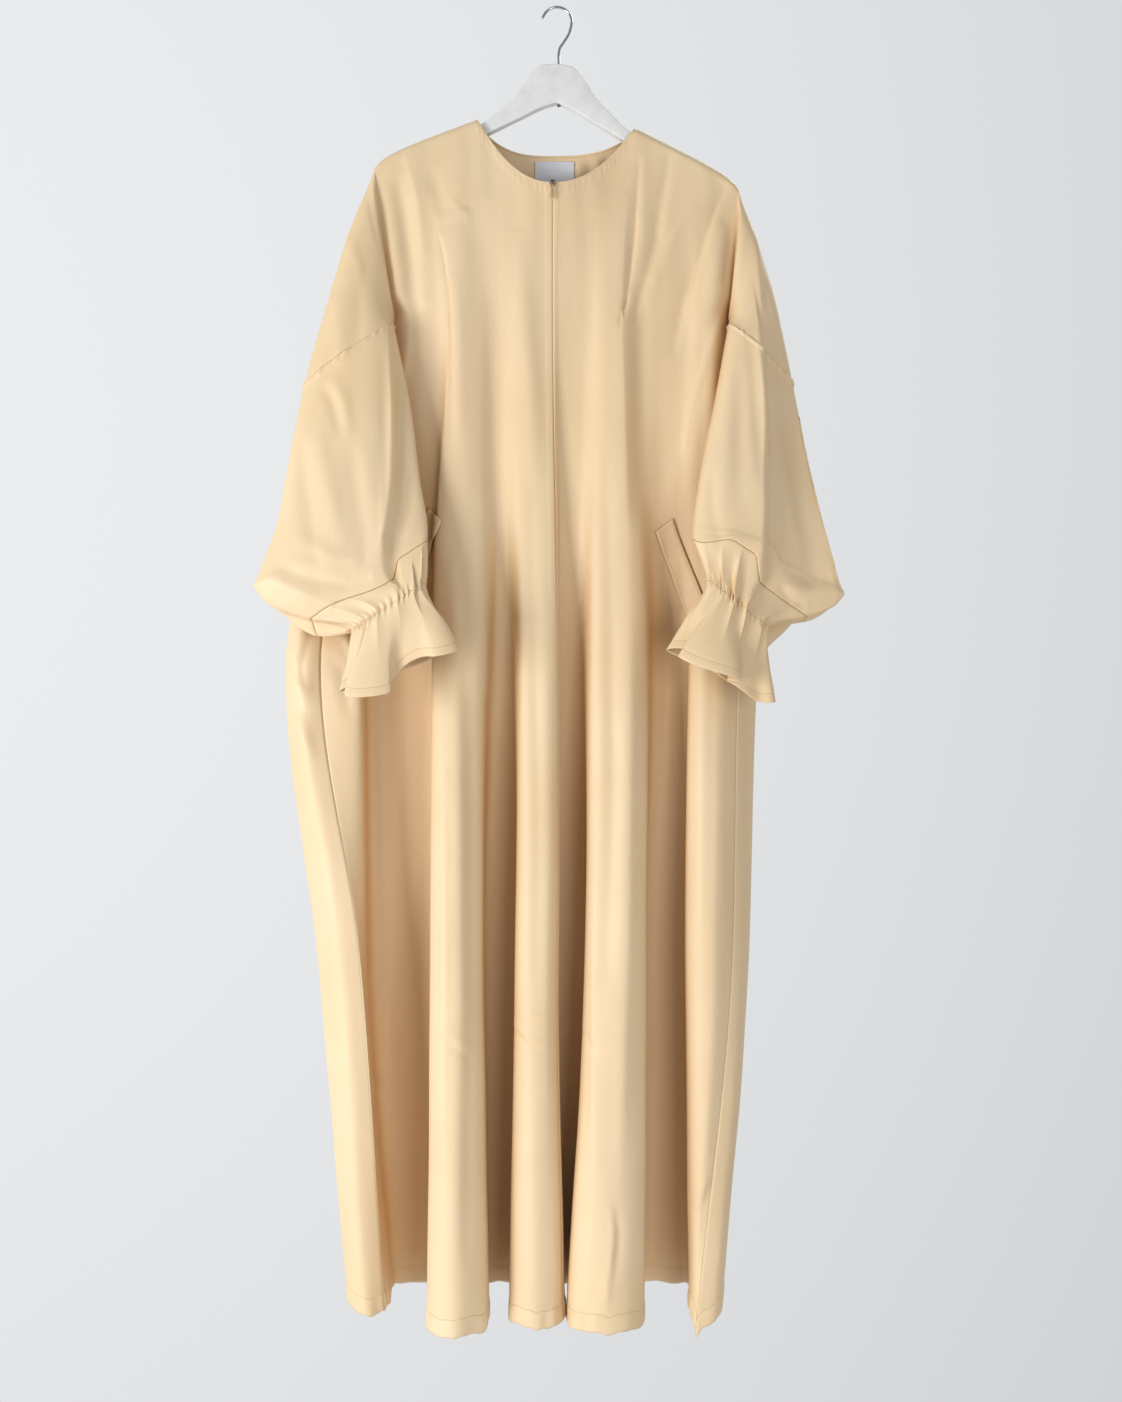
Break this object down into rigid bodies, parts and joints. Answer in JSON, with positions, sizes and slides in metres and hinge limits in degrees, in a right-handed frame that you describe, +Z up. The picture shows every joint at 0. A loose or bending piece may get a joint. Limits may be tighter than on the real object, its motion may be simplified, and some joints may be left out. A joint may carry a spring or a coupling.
{
  "type": "abaya on a clothes hanger",
  "caption": "Loose full-length satin abaya hanging on a wooden hanger, with a round neck, front zip, full sleeves gathered into frilled cuffs and deep folds to the hem.",
  "frame": {"origin": "inside top of the hanger's hook, where it rests on a rail", "axes": "+Z up, -Y out of the garment's front, +X towards the wearer's left"},
  "size_m": [0.682, 0.1942, 1.5682],
  "materials": {
    "satin": "woven satin, soft sheen",
    "label": "woven satin label, bare",
    "painted_wood": "white paint, semi-matt",
    "hook_chrome": "polished wire",
    "zip_metal": "plated, worn"
  },
  "bodies": {
    "garment": {"front_right": "satin", "front_left": "satin", "back": "satin", "sleeve_right": "satin", "sleeve_left": "satin", "cuff_right": "satin", "cuff_left": "satin", "frill_right": "satin", "frill_left": "satin", "pocket_welt_right": "satin", "pocket_welt_left": "satin", "neck_binding": "satin", "neck_label": "label", "zip_tape": "satin", "zip_slider": "zip_metal", "hanger_body": "painted_wood", "hanger_hook": "hook_chrome"},
    "zip_pull": {"zip_pull": "zip_metal"}
  },
  "joints": [
    {"name": "pull_swing", "type": "hinge", "parent": "garment", "child": "zip_pull", "pos_m": [-0.005, -0.0257, -0.2164], "axis": [-1, 0, 0], "range_deg": [0, 150]}
  ]
}
